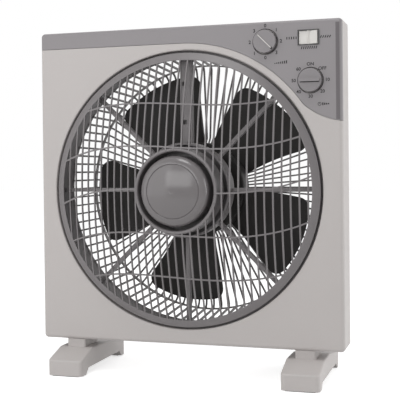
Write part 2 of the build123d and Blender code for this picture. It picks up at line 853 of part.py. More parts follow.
with BuildPart() as fan_blade:
    with BuildSketch(spin_plane):
        with BuildLine():
            Polyline(
                (shaft_radius / 2, blade_front),
                (fan_hub_radius, blade_front),
                (fan_hub_radius, blade_front + fan_hub_depth),
                (fan_hub_radius - fan_hub_wall, blade_front + fan_hub_depth),
                (fan_hub_radius - fan_hub_wall, blade_front + fan_hub_wall),
                (fan_boss_radius, blade_front + fan_hub_wall),
                (fan_boss_radius, motor_front - fan_boss_gap),
                (shaft_radius / 2, motor_front - fan_boss_gap),
                close=True,
            )
        make_face()
    revolve(axis=fan_axis)
    rounds = fan_blade.edges().filter_by(GeomType.CIRCLE)
    hub_rims = rounds.filter_by(lambda edge: abs(edge.radius - fan_hub_radius) < 0.01)
    fillet(hub_rims.sort_by(Axis.Y)[0], fan_hub_round)
    for number in range(blade_count):
        turned = one_blade.part.rotate(fan_axis, -(blade_phase + number * 360 / blade_count))
        add(turned)
    with BuildSketch(facing(blade_front - overreach)):
        Circle(shaft_radius + running_gap / 2)
    extrude(amount=-blade_depth, mode=Mode.SUBTRACT)
save(fan_blade.part, "fan_blade")

with BuildPart() as blade_nut:
    with BuildSketch(spin_plane):
        with BuildLine():
            Polyline(
                (0, blade_front - seat_gap),
                (nut_radius, blade_front - seat_gap),
                (nut_radius, nut_front + nut_bevel[1]),
                (nut_radius - nut_bevel[0], nut_front),
                (0, nut_front),
                close=True,
            )
        make_face()
    revolve(axis=fan_axis)
    with BuildSketch(facing(blade_front)):
        Circle(thread_radius + running_gap)
    extrude(amount=nut_reach - nut_cap, mode=Mode.SUBTRACT)
save(blade_nut.part, "blade_nut")

# ---------------------------------------------------------------- fan motor
shell_inner = motor_radius - bell_wall
motor_screw_places = [
    polar_place(motor_screw_circle, motor_screw_phase + number * 360 / motor_screw_count)
    for number in range(motor_screw_count)
]
rear_bell_face = motor_back - seat_gap


def end_bell(face, open_end):
    """One end bell: a cup from its face to its open end, with a socket for the bearing."""
    step = 1 if open_end > face else -1
    bore = bearing_radius + running_gap / 2
    with BuildPart() as bell:
        with BuildSketch(spin_plane):
            with BuildLine():
                Polyline(
                    (bore, face),
                    (motor_radius - bell_chamfer, face),
                    (motor_radius, face + bell_chamfer * step),
                    (motor_radius, open_end),
                    (shell_inner, open_end),
                    (shell_inner, face + (bell_chamfer + bell_wall / 2) * step),
                    (shell_inner - bell_chamfer, face + bell_wall * step),
                    (bearing_radius + bell_wall, face + bell_wall * step),
                    (bearing_radius + bell_wall, face + bearing_depth * step),
                    (bore, face + bearing_depth * step),
                    close=True,
                )
            make_face()
        revolve(axis=fan_axis)
    return bell.part


save(end_bell(motor_front, stack_front - seat_gap), "motor_front_bell")

rear_bell_form = end_bell(rear_bell_face, stack_back + seat_gap)
ear_front = stack_back + bell_wall
with BuildPart() as motor_rear_bell:
    add(rear_bell_form)
    with BuildSketch(facing(ear_front)):
        with Locations(*motor_screw_places):
            Circle(motor_ear_half_width)
        with PolarLocations(motor_radius, motor_screw_count, motor_screw_phase):
            Rectangle(2 * (motor_screw_circle - motor_radius), 2 * motor_ear_half_width)
        Circle(shell_inner, mode=Mode.SUBTRACT)
    extrude(amount=ear_front - rear_bell_face)
    with BuildSketch(facing(rear_bell_face)):
        with Locations(*motor_screw_places):
            Circle(screw_radius + running_gap)
    extrude(amount=rear_bell_face - ear_front, mode=Mode.SUBTRACT)
save(motor_rear_bell.part, "motor_rear_bell")

with BuildPart() as motor_stator:
    with BuildSketch(facing(stack_front)):
        Circle(motor_radius)
        Circle(rotor_radius + air_gap, mode=Mode.SUBTRACT)
        with PolarLocations(rotor_radius + stator_slot[0] / 2 + coil_margin / 2, stator_slots):
            Rectangle(*stator_slot, mode=Mode.SUBTRACT)
    extrude(amount=-stack_depth)
save(motor_stator.part, "motor_stator")

coil_inner = rotor_radius + coil_margin
coil_outer = shell_inner - coil_margin
with BuildPart() as motor_windings:
    with BuildSketch(spin_plane):
        for start in (stack_front - seat_gap - coil_depth, stack_back + seat_gap):
            with Locations((coil_inner, start)):
                turns = Rectangle(
                    coil_outer - coil_inner, coil_depth, align=(Align.MIN, Align.MIN)
                )
            fillet(turns.vertices(), coil_depth / 3)
    revolve(axis=fan_axis)
save(motor_windings.part, "motor_windings")

with BuildPart() as motor_rotor:
    with BuildSketch(facing(stack_front)):
        Circle(rotor_radius)
        Circle(shaft_radius + running_gap / 2, mode=Mode.SUBTRACT)
    extrude(amount=-stack_depth)
save(motor_rotor.part, "motor_rotor")

with BuildPart() as motor_shaft:
    with BuildSketch(facing(blade_front)):
        Circle(shaft_radius)
    extrude(amount=blade_front - motor_back)
    with BuildSketch(facing(blade_front)):
        Circle(thread_radius)
    extrude(amount=nut_reach - nut_cap - fit)
save(motor_shaft.part, "motor_shaft")

with BuildPart() as motor_bearings:
    for start in (motor_front, rear_bell_face - bearing_depth):
        with BuildSketch(facing(start)):
            Circle(bearing_radius)
            Circle(shaft_radius + running_gap, mode=Mode.SUBTRACT)
        extrude(amount=-bearing_depth)
save(motor_bearings.part, "motor_bearings")

# ---------------------------------------------------------------- rear grille
rim_front = drum_depth + fit
rim_radius = well_radius - fit
rim_inner = drum_radius - fit
wire_reach = rim_inner - motor_plate_radius
corner_radius = rim_inner + rim_overlap - grille_taper - grille_round
corner_front = grille_flat - grille_round


def basket(inset):
    """Section line of the wire basket's outside, or of its inside when inset."""
    bend = grille_round - inset
    middle = (corner_radius + bend * cos(radians(45)), corner_front + bend * sin(radians(45)))
    flat = grille_flat - inset
    return (
        [(rim_inner + rim_overlap - inset, rim_front), (corner_radius + bend, corner_front)],
        [(corner_radius + bend, corner_front), middle, (corner_radius, flat)],
        [
            (corner_radius, flat),
            (grille_step_radius, flat),
            (motor_plate_radius, plate_back - inset),
            (motor_plate_radius - wire_depth, plate_back - inset),
        ],
    )


with BuildPart() as rear_grille:
    with BuildSketch(facing(rim_front - overreach)):
        with PolarLocations(motor_plate_radius + wire_reach / 2, wire_count):
            Rectangle(wire_reach + 2 * wire_width, wire_width)
    extrude(amount=rim_front - 2 * overreach - grille_flat)
    with BuildSketch(facing(corner_front)):
        for ring in wire_rings:
            Circle(ring + wire_ring_width / 2)
            Circle(ring - wire_ring_width / 2, mode=Mode.SUBTRACT)
    extrude(amount=-grille_round)
    with BuildSketch(spin_plane):
        with BuildLine():
            outside = basket(0)
            inside = basket(wire_depth)
            for side_wall, corner, flat in (outside, inside):
                Line(*side_wall)
                ThreePointArc(*corner)
                Polyline(*flat)
            Line(outside[0][0], inside[0][0])
            Line(outside[2][-1], inside[2][-1])
        make_face()
    revolve(axis=fan_axis, mode=Mode.INTERSECT)
    with BuildSketch(spin_plane):
        with Locations((rim_inner, rim_front)):
            Rectangle(rim_radius - rim_inner, grille_rim_depth, align=(Align.MIN, Align.MIN))
        with Locations((plate_hole_radius, motor_back)):
            Rectangle(
                motor_plate_radius - plate_hole_radius, wire_depth, align=(Align.MIN, Align.MIN)
            )
    revolve(axis=fan_axis)
    with BuildSketch(facing(motor_back)):
        with Locations(*motor_screw_places):
            Circle(screw_radius + running_gap)
    extrude(amount=-wire_depth, mode=Mode.SUBTRACT)
save(rear_grille.part, "rear_grille")

save(
    screw(
        facing(plate_back),
        motor_screw_places,
        screw_radius,
        motor_screw_length,
        screw_head_radius,
        screw_head_height,
    ),
    "motor_screws",
)

cover_back = plate_back + motor_cover_depth
cover_inner = motor_cover_radius - motor_cover_wall
with BuildPart() as motor_cover:
    with BuildSketch(spin_plane):
        with BuildLine():
            Polyline(
                (0, cover_back),
                (motor_cover_radius - motor_cover_bevel[0], cover_back),
                (motor_cover_radius, cover_back - motor_cover_bevel[1]),
                (motor_cover_radius, plate_back + seat_gap),
                (cover_inner, plate_back + seat_gap),
                (cover_inner, cover_back - motor_cover_bevel[1] - motor_cover_wall / 2),
                (cover_inner - motor_cover_bevel[0], cover_back - motor_cover_wall),
                (0, cover_back - motor_cover_wall),
                close=True,
            )
        make_face()
    revolve(axis=fan_axis)
    with BuildSketch(facing(cover_back)):
        for vent_circle, vents in cover_vent_rings:
            with PolarLocations(vent_circle, vents):
                SlotCenterToCenter(*cover_vent)
    extrude(amount=motor_cover_wall, mode=Mode.SUBTRACT)
save(motor_cover.part, "motor_cover")

# ---------------------------------------------------------------- speed and timer controls
knob_back = panel_back - fit
control_back = seat_back + seat_gap


def control_body(place, side, depth):
    """Square body of a switch or timer behind the panel, with a bore for its shaft."""
    with BuildPart() as body:
        with BuildSketch(on_body(control_back)):
            with Locations(place):
                RectangleRounded(side, side, wall)
        extrude(amount=-depth)
        with BuildSketch(on_body(control_back)):
            with Locations(place):
                Circle(control_shaft_radius + running_gap)
        extrude(amount=-control_bore_depth, mode=Mode.SUBTRACT)
    return body.part


def control_shaft(place):
    """Round shaft from inside the switch to inside the knob."""
    with BuildPart() as shaft:
        with BuildSketch(on_body(knob_wall + fit - knob_reach)):
            with Locations(place):
                Circle(control_shaft_radius)
        extrude(amount=knob_wall + 2 * fit - knob_reach - control_back - control_bore_depth)
    return shaft.part


def knob(place, ridge_width, ridge_rise, ridge_angle):
    """Round knob with a straight ridge across its face."""
    with BuildPart() as body:
        with BuildSketch(on_body(knob_back)) as base:
            with Locations(place):
                Circle(knob_radius)
        extrude(amount=knob_reach + knob_back)
        fillet(body.faces().sort_by(Axis.Y)[0].edges(), knob_skirt_draft * 2)
        with BuildSketch(on_body(-knob_reach)):
            with Locations(place):
                Circle(knob_radius - knob_wall)
                Rectangle(
                    2 * knob_radius, ridge_width, rotation=ridge_angle, mode=Mode.INTERSECT
                )
        extrude(amount=ridge_rise)
        with BuildSketch(on_body(knob_back)):
            with Locations(place):
                Circle(knob_radius - knob_wall)
                Circle(knob_boss_radius, mode=Mode.SUBTRACT)
        extrude(amount=knob_back + knob_reach - knob_wall, mode=Mode.SUBTRACT)
        with BuildSketch(on_body(knob_back)):
            with Locations(place):
                Circle(control_shaft_radius + running_gap / 2)
        extrude(amount=knob_back + knob_reach - knob_wall, mode=Mode.SUBTRACT)
    return body.part


save(control_body(speed_place, speed_switch_size, speed_switch_depth), "speed_switch")
save(control_body(timer_place, timer_case_size, timer_case_depth), "timer_case")
save(control_shaft(speed_place), "speed_shaft")
save(control_shaft(timer_place), "timer_shaft")
save(knob(speed_place, pointer_width, pointer_rise, pointer_angle), "speed_knob")
save(knob(timer_place, grip_width, grip_rise, 0), "timer_knob")

# ---------------------------------------------------------------- louvre rocker switch
frame_width = cavity_width + 2 * switch_wall
frame_height = cavity_height + 2 * switch_wall
frame_front = -switch_flange_thick - seat_gap
pivot = (rocker_place[0], face_y + rocker_pivot_depth, body_mid_z + rocker_place[1])

with BuildPart() as rocker_frame:
    with BuildSketch(on_body(frame_front)):
        with Locations(rocker_place):
            Rectangle(frame_width + 2 * switch_flange, frame_height + 2 * switch_flange)
    extrude(amount=-switch_flange_thick)
    with BuildSketch(on_body(frame_front)):
        with Locations(rocker_place):
            Rectangle(frame_width, frame_height)
    extrude(amount=frame_front - switch_depth)
    with BuildSketch(on_body(switch_depth)):
        with Locations(rocker_place):
            with GridLocations(switch_tab_pitch, 0, 3, 1):
                Rectangle(*switch_tab)
    extrude(amount=-switch_tab_length)
    with BuildSketch(on_body(frame_front)):
        with Locations(rocker_place):
            Rectangle(cavity_width, cavity_height)
    extrude(amount=frame_front - switch_cavity_depth, mode=Mode.SUBTRACT)
    with BuildSketch(Plane(origin=pivot, x_dir=(1, 0, 0), z_dir=(0, 0, 1))):
        Circle(rocker_pin_radius + running_gap)
    extrude(amount=frame_height / 2 - running_gap, both=True, mode=Mode.SUBTRACT)
save(rocker_frame.part, "rocker_frame")

tilt = radians(-rocker_tilt)
rocker_plane = Plane(origin=pivot, x_dir=(cos(tilt), sin(tilt), 0), z_dir=(0, 0, 1))
rocker_rise = rocker_radius * sin(radians(rocker_tilt)) / cos(radians(rocker_tilt))
with BuildPart() as louvre_rocker:
    with BuildSketch(rocker_plane):
        with BuildLine():
            Polyline(
                (-rocker_radius, -rocker_valley_reach - rocker_rise),
                (0, -rocker_valley_reach),
                (rocker_radius, -rocker_valley_reach - rocker_rise),
                (rocker_radius, rocker_back_depth),
                (-rocker_radius, rocker_back_depth),
                close=True,
            )
        make_face()
        Circle(rocker_radius, mode=Mode.INTERSECT)
    extrude(amount=rocker_height / 2, both=True)
    with BuildSketch(rocker_plane):
        Circle(rocker_pin_radius)
    extrude(amount=frame_height / 2 - 2 * running_gap, both=True)
save(louvre_rocker.part, "louvre_rocker")

# ---------------------------------------------------------------- housing screws
save(
    screw(
        on_body(housing_screw_seat),
        corner_places,
        screw_radius,
        housing_screw_length,
        screw_head_radius,
        screw_head_height,
    ),
    "housing_screws",
)

# ---------------------------------------------------------------- feet
foot_top = body_lift - seat_gap
pad_depths = (foot_front + foot_toe / 2, foot_back - foot_toe / 2)


def foot(foot_x):
    """A long foot with a post up to the body, an arch under it and two screw holes."""
    with BuildPart() as body:
        with BuildSketch(Plane.YZ.offset(foot_x - foot_width / 2)):
            with Locations((face_y, 0)):
                Polygon(
                    (foot_front, pad_standoff),
                    (foot_front, foot_nose_height),
                    (post_front, foot_crown_height),
                    (post_back, foot_crown_height),
                    (foot_back, foot_nose_height),
                    (foot_back, pad_standoff),
                    (foot_back - foot_toe, pad_standoff),
                    (foot_back - foot_toe - foot_arch, pad_standoff + foot_arch),
                    (foot_front + foot_toe + foot_arch, pad_standoff + foot_arch),
                    (foot_front + foot_toe, pad_standoff),
                    align=None,
                )
        extrude(amount=foot_width)
        upright = body.edges().filter_by(Axis.Z)
        fillet(upright.group_by(Axis.Y)[0] + upright.group_by(Axis.Y)[-1], foot_round)
        top_edges = body.faces().filter_by(lambda face: face.normal_at().Z > 0.5).edges()
        fillet(top_edges.filter_by(lambda edge: abs(edge.tangent_at(0.5).Y) > 0.5), foot_edge_round)
        with BuildSketch(Plane.XY.offset(foot_crown_height - foot_edge_round)):
            with Locations((foot_x, face_y + (post_front + post_back) / 2)):
                RectangleRounded(post_width, post_back - post_front, foot_edge_round)
        extrude(amount=foot_top - foot_crown_height + foot_edge_round)
        with BuildSketch(Plane.XY):
            with Locations(*[(foot_x, face_y + depth) for depth in foot_screw_depths]):
                Circle(screw_head_radius + fit)
        extrude(amount=foot_screw_head_seat, mode=Mode.SUBTRACT)
        with BuildSketch(Plane.XY.offset(foot_screw_head_seat)):
            with Locations(*[(foot_x, face_y + depth) for depth in foot_screw_depths]):
                Circle(screw_radius + running_gap)
        extrude(amount=foot_top - foot_screw_head_seat, mode=Mode.SUBTRACT)
        with BuildSketch(Plane.XY.offset(pad_standoff)):
            with Locations(*[(foot_x, face_y + depth) for depth in pad_depths]):
                Rectangle(pad_width + 2 * seat_gap, pad_length + 2 * seat_gap)
        extrude(amount=pad_pocket + seat_gap, mode=Mode.SUBTRACT)
    return body.part


save(foot(foot_centres[0]), "left_foot")
save(foot(foot_centres[1]), "right_foot")

with BuildPart() as foot_pads:
    with BuildSketch(Plane.XY):
        for depth in pad_depths:
            with Locations(*[(foot_x, face_y + depth) for foot_x in foot_centres]):
                Rectangle(pad_width, pad_length)
    extrude(amount=pad_thick)
save(foot_pads.part, "foot_pads")

foot_screw_places = [
    (foot_x, face_y + depth) for foot_x in foot_centres for depth in foot_screw_depths
]
save(
    screw(
        Plane.XY.offset(foot_screw_head_seat),
        foot_screw_places,
        screw_radius,
        foot_screw_length,
        screw_head_radius,
        screw_head_height,
    ),
    "foot_screws",
)

# ---------------------------------------------------------------- electrics on the body's floor
with BuildPart() as capacitor:
    with BuildSketch(Plane.XY.offset(body_floor + seat_gap)):
        with Locations((capacitor_place, face_y + electrics_depth + capacitor_size[1] / 2)):
            RectangleRounded(capacitor_size[0], capacitor_size[1], wall)
    extrude(amount=capacitor_size[2])
    fillet(capacitor.faces().sort_by(Axis.Z)[-1].edges(), capacitor_round)
save(capacitor.part, "capacitor")

with BuildPart() as terminal_block:
    terminal_y = face_y + electrics_depth + terminal_size[1] / 2
    with BuildSketch(Plane.XY.offset(body_floor + seat_gap)):
        with Locations((terminal_place, terminal_y)):
            Rectangle(terminal_size[0], terminal_size[1])
    extrude(amount=terminal_size[2])
    with BuildSketch(Plane.XY.offset(body_floor + seat_gap + terminal_size[2])):
        with Locations((terminal_place, terminal_y)):
            with GridLocations(terminal_size[0] / terminal_count, 0, terminal_count, 1):
                Circle(terminal_hole_radius)
            with GridLocations(terminal_size[0] / terminal_count, 0, terminal_count - 1, 1):
                Rectangle(terminal_groove, terminal_size[1])
    extrude(amount=-terminal_size[2] / 2, mode=Mode.SUBTRACT)
save(terminal_block.part, "terminal_block")

# bushing in the mains inlet: a neck in the wall and a lip on either side
with BuildPart() as inlet_bushing:
    with BuildSketch(on_body(body_depth - wall - inlet_lip_thick - seat_gap)):
        with Locations(inlet_place):
            Circle(inlet_radius - seat_gap)
    extrude(amount=-(wall + 2 * inlet_lip_thick + 2 * seat_gap))
    for lip_front in (body_depth - wall - inlet_lip_thick - seat_gap, body_depth + seat_gap):
        with BuildSketch(on_body(lip_front)):
            with Locations(inlet_place):
                Circle(inlet_radius + inlet_lip)
        extrude(amount=-inlet_lip_thick)
    with BuildSketch(on_body(body_depth - wall - inlet_lip_thick - seat_gap)):
        with Locations(inlet_place):
            Circle(inlet_bore_radius)
    extrude(amount=-(wall + 2 * inlet_lip_thick + 2 * seat_gap), mode=Mode.SUBTRACT)
save(inlet_bushing.part, "inlet_bushing")
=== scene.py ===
"""Box fan: finishes, printed dials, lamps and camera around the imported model.

Metres throughout.  +Z is up, the fan blows towards -Y, +X is its right-hand side.
"""

import json
import math

import bmesh
import bpy
from mathutils import Matrix, Vector


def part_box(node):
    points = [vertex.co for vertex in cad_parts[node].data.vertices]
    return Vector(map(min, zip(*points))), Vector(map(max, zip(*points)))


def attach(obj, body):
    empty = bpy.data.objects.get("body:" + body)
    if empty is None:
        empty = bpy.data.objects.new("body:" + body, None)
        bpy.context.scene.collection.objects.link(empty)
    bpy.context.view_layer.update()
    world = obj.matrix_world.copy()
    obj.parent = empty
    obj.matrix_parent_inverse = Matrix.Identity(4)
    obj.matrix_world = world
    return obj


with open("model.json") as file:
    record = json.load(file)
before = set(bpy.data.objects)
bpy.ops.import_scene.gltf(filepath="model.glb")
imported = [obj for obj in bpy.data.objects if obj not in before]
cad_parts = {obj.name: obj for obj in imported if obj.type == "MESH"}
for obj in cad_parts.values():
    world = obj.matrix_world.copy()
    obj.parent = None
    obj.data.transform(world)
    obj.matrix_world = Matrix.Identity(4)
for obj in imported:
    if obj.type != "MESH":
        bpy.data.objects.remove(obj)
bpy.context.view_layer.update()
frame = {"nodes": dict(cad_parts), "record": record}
nodes = frame["nodes"]


# ---------------------------------------------------------------- places on the fan
def middle(node):
    """Middle of a node's box."""
    low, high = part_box(node)
    return (low + high) / 2


panel_low, panel_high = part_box("control_panel")
PANEL_FACE = panel_low.y
POINTER_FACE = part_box("speed_knob")[0].y
GRIP_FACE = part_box("timer_knob")[0].y
SPEED_DIAL = middle("speed_knob")
TIMER_DIAL = middle("timer_knob")
FAN_AXIS = middle("louvre_cap")
BODY_MIDDLE_Z = middle("front_housing").z
MM = 0.001
POINTER_RISE = 0.5 * MM  # pointer above the speed knob's disc
GRIP_RISE = 3.0 * MM  # grip above the timer knob's disc
DIAL_HOLE_RADIUS = 14.15 * MM


# ---------------------------------------------------------------- finishes
CLOUD_SCALE = 14  # noise scales, in repeats per metre
SPECKLE_SCALE = 520
GRAIN_SCALE = 1500
DUST_SCALE = 60
SCRATCH_SCALE = 900
PATCH_SCALE = 45
SCRATCH_STRETCH = 0.06  # scratches run long in depth
DUST_SLOPE = 0.35  # dust starts on faces that look up at least this much
DUST_GAIN = 1.6
DUST_ROUGHNESS = 0.5
SCRATCH_ROUGHNESS = 0.2
GRAIN_DEPTH = 0.2 * MM
SCRATCH_DEPTH = 0.1 * MM
SCRATCH_BUMP = 0.15


def new_group(name, inputs, outputs):
    """Empty shader group with named inputs (socket type, default) and outputs."""
    group = bpy.data.node_groups.new(name, "ShaderNodeTree")
    for label, kind, default in inputs:
        socket = group.interface.new_socket(label, in_out="INPUT", socket_type=kind)
        socket.default_value = default
    for label, kind in outputs:
        group.interface.new_socket(label, in_out="OUTPUT", socket_type=kind)
    start = group.nodes.new("NodeGroupInput")
    end = group.nodes.new("NodeGroupOutput")
    return group, start, end


def maths(group, operation, first, second, clamp=False):
    """One Math node; each operand is a socket or a number."""
    node = group.nodes.new("ShaderNodeMath")
    node.operation = operation
    node.use_clamp = clamp
    for slot, value in enumerate((first, second)):
        if isinstance(value, (int, float)):
            node.inputs[slot].default_value = value
        else:
            group.links.new(value, node.inputs[slot])
    return node.outputs[0]


def noise(group, scale, detail, vector):
    """Noise value at a scale in repeats per metre."""
    node = group.nodes.new("ShaderNodeTexNoise")
    node.inputs["Scale"].default_value = scale
    node.inputs["Detail"].default_value = detail
    group.links.new(vector, node.inputs["Vector"])
    return node.outputs["Fac"]


def make_moulded_grain():
    """Moulded plastic: cloudy tone, fine spark-eroded grain, a little dust on upward faces."""
    group, start, end = new_group(
        "moulded_grain",
        [
            ("Colour", "NodeSocketColor", (0.5, 0.5, 0.5, 1)),
            ("Dust Colour", "NodeSocketColor", (0.75, 0.73, 0.7, 1)),
            ("Cloud", "NodeSocketFloat", 0.04),
            ("Dust", "NodeSocketFloat", 0.1),
            ("Roughness", "NodeSocketFloat", 0.45),
            ("Rough Spread", "NodeSocketFloat", 0.1),
        ],
        [
            ("Colour", "NodeSocketColor"),
            ("Roughness", "NodeSocketFloat"),
            ("Height", "NodeSocketFloat"),
        ],
    )
    place = group.nodes.new("ShaderNodeTexCoord").outputs["Object"]
    cloud = noise(group, CLOUD_SCALE, 3, place)
    speckle = noise(group, SPECKLE_SCALE, 2, place)
    grain = noise(group, GRAIN_SCALE, 2, place)
    tone = maths(group, "SUBTRACT", cloud, 0.5)
    tone = maths(group, "MULTIPLY", tone, 2.0)
    fine = maths(group, "SUBTRACT", speckle, 0.5)
    tone = maths(group, "ADD", tone, fine)
    tone = maths(group, "MULTIPLY", tone, start.outputs["Cloud"])
    tone = maths(group, "ADD", tone, 1.0)
    shade = group.nodes.new("ShaderNodeVectorMath")
    shade.operation = "SCALE"
    group.links.new(start.outputs["Colour"], shade.inputs[0])
    group.links.new(tone, shade.inputs["Scale"])
    normal = group.nodes.new("ShaderNodeNewGeometry").outputs["Normal"]
    split = group.nodes.new("ShaderNodeSeparateXYZ")
    group.links.new(normal, split.inputs[0])
    upward = maths(group, "SUBTRACT", split.outputs["Z"], DUST_SLOPE)
    upward = maths(group, "MULTIPLY", upward, DUST_GAIN, clamp=True)
    settle = noise(group, DUST_SCALE, 4, place)
    dust = maths(group, "MULTIPLY", upward, settle)
    dust = maths(group, "MULTIPLY", dust, start.outputs["Dust"], clamp=True)
    blend = group.nodes.new("ShaderNodeMix")
    blend.data_type = "RGBA"
    group.links.new(dust, blend.inputs["Factor"])
    group.links.new(shade.outputs[0], blend.inputs["A"])
    group.links.new(start.outputs["Dust Colour"], blend.inputs["B"])
    group.links.new(blend.outputs["Result"], end.inputs["Colour"])
    spread = maths(group, "SUBTRACT", cloud, 0.5)
    spread = maths(group, "MULTIPLY", spread, start.outputs["Rough Spread"])
    rough = maths(group, "ADD", start.outputs["Roughness"], spread)
    dusty = maths(group, "MULTIPLY", dust, DUST_ROUGHNESS)
    rough = maths(group, "ADD", rough, dusty, clamp=True)
    group.links.new(rough, end.inputs["Roughness"])
    group.links.new(grain, end.inputs["Height"])
    return group


def make_drawn_metal():
    """Metal: fine scratches drawn along the fan's axis, and dull patches."""
    group, start, end = new_group(
        "drawn_metal",
        [
            ("Colour", "NodeSocketColor", (0.6, 0.6, 0.6, 1)),
            ("Roughness", "NodeSocketFloat", 0.35),
            ("Patches", "NodeSocketFloat", 0.12),
        ],
        [
            ("Colour", "NodeSocketColor"),
            ("Roughness", "NodeSocketFloat"),
            ("Height", "NodeSocketFloat"),
        ],
    )
    place = group.nodes.new("ShaderNodeTexCoord").outputs["Object"]
    stretch = group.nodes.new("ShaderNodeMapping")
    stretch.inputs["Scale"].default_value = (1.0, SCRATCH_STRETCH, 1.0)
    group.links.new(place, stretch.inputs["Vector"])
    scratches = noise(group, SCRATCH_SCALE, 3, stretch.outputs["Vector"])
    patch = noise(group, PATCH_SCALE, 3, place)
    tone = maths(group, "SUBTRACT", patch, 0.5)
    tone = maths(group, "MULTIPLY", tone, start.outputs["Patches"])
    tone = maths(group, "ADD", tone, 1.0)
    shade = group.nodes.new("ShaderNodeVectorMath")
    shade.operation = "SCALE"
    group.links.new(start.outputs["Colour"], shade.inputs[0])
    group.links.new(tone, shade.inputs["Scale"])
    group.links.new(shade.outputs[0], end.inputs["Colour"])
    rough = maths(group, "MULTIPLY", scratches, SCRATCH_ROUGHNESS)
    rough = maths(group, "ADD", rough, start.outputs["Roughness"], clamp=True)
    group.links.new(rough, end.inputs["Roughness"])
    group.links.new(scratches, end.inputs["Height"])
    return group


MOULDED_GRAIN = make_moulded_grain()
DRAWN_METAL = make_drawn_metal()


def linear(red, green, blue):
    """Screen colour, 0 to 255, as the linear colour that a shader takes."""
    def channel(value):
        value = value / 255
        return value / 12.92 if value <= 0.04045 else ((value + 0.055) / 1.055) ** 2.4

    return (channel(red), channel(green), channel(blue), 1.0)


def finish_with(name, group, values, bump, bump_distance):
    """Material whose colour, roughness and bump come from a group."""
    material = bpy.data.materials.new(name)
    material.use_nodes = True
    tree = material.node_tree
    shader = tree.nodes["Principled BSDF"]
    effect = tree.nodes.new("ShaderNodeGroup")
    effect.node_tree = group
    for label, value in values.items():
        effect.inputs[label].default_value = value
    tree.links.new(effect.outputs["Colour"], shader.inputs["Base Color"])
    tree.links.new(effect.outputs["Roughness"], shader.inputs["Roughness"])
    relief = tree.nodes.new("ShaderNodeBump")
    relief.inputs["Strength"].default_value = bump
    relief.inputs["Distance"].default_value = bump_distance
    tree.links.new(effect.outputs["Height"], relief.inputs["Height"])
    tree.links.new(relief.outputs["Normal"], shader.inputs["Normal"])
    return material


def plastic(name, colour, roughness=0.45, cloud=0.04, dust=0.1, bump=0.25, gloss=0.5):
    """Moulded plastic in a screen colour."""
    material = finish_with(
        name,
        MOULDED_GRAIN,
        {
            "Colour": linear(*colour),
            "Cloud": cloud,
            "Dust": dust,
            "Roughness": roughness,
        },
        bump,
        GRAIN_DEPTH,
    )
    material.node_tree.nodes["Principled BSDF"].inputs["Specular IOR Level"].default_value = gloss
    return material


def metal(name, colour, roughness=0.35, patches=0.12):
    """Bare or plated metal in a screen colour."""
    material = finish_with(
        name,
        DRAWN_METAL,
        {"Colour": linear(*colour), "Roughness": roughness, "Patches": patches},
        SCRATCH_BUMP,
        SCRATCH_DEPTH,
    )
    material.node_tree.nodes["Principled BSDF"].inputs["Metallic"].default_value = 1.0
    return material


FINISHES = {
    "body_plastic": plastic("body_plastic", (184, 179, 177), 0.5, 0.03, 0.08),
    "accent_plastic": plastic("accent_plastic", (133, 129, 131), 0.42, 0.03, 0.08),
    "louvre_plastic": plastic("louvre_plastic", (116, 112, 113), 0.42, 0.03, 0.08),
    "cap_plastic": plastic("cap_plastic", (108, 104, 105), 0.16, 0.03, 0.05, bump=0.04),
    "frame_plastic": plastic("frame_plastic", (124, 120, 121), 0.5, 0.04, 0.15),
    "wire_plastic": plastic("wire_plastic", (118, 114, 114), 0.5, 0.04, 0.15),
    "blade_plastic": plastic("blade_plastic", (40, 38, 37), 0.5, 0.06, 0.12, gloss=0.3),
    "knob_plastic": plastic("knob_plastic", (124, 120, 122), 0.38, 0.03, 0.05),
    "switch_frame_plastic": plastic("switch_frame_plastic", (44, 42, 42), 0.35, 0.04, 0.05),
    "rocker_plastic": plastic("rocker_plastic", (206, 203, 199), 0.3, 0.02, 0.03, bump=0.08),
    "inner_white_plastic": plastic("inner_white_plastic", (214, 209, 198), 0.45, 0.04, 0.1),
    "capacitor_plastic": plastic("capacitor_plastic", (40, 41, 44), 0.5, 0.05, 0.1),
    "pad_rubber": plastic("pad_rubber", (38, 37, 36), 0.8, 0.1, 0.1, bump=0.4, gloss=0.3),
    "bushing_rubber": plastic("bushing_rubber", (52, 50, 49), 0.7, 0.08, 0.1, gloss=0.3),
    "zinc_steel": metal("zinc_steel", (178, 180, 184), 0.35),
    "stack_steel": metal("stack_steel", (120, 120, 124), 0.5, 0.2),
    "winding_copper": metal("winding_copper", (186, 112, 66), 0.3, 0.25),
    "shaft_steel": metal("shaft_steel", (190, 192, 196), 0.22),
    "bearing_bronze": metal("bearing_bronze", (184, 148, 92), 0.45, 0.2),
    "screw_steel": metal("screw_steel", (176, 178, 180), 0.3),
}

for entry in frame["record"]["subparts"]:
    piece = nodes[entry["node"]]
    piece.data.materials.clear()
    piece.data.materials.append(FINISHES[entry["material_slot"]])

# Painted shade for the panel's right-hand end, where its rounded edge turns from the light.
PAINTED_END_SHADE = plastic("painted_end_shade_plastic", (110, 106, 108), 0.6, 0.06, 0.0, bump=0.05, gloss=0.2)
# Dark print ink; the same ink also paints shade round the dial holes and under the timer's grip.
INK = plastic("printed_ink", (30, 28, 29), 0.6, 0.08, 0.0, bump=0.05, gloss=0.2)
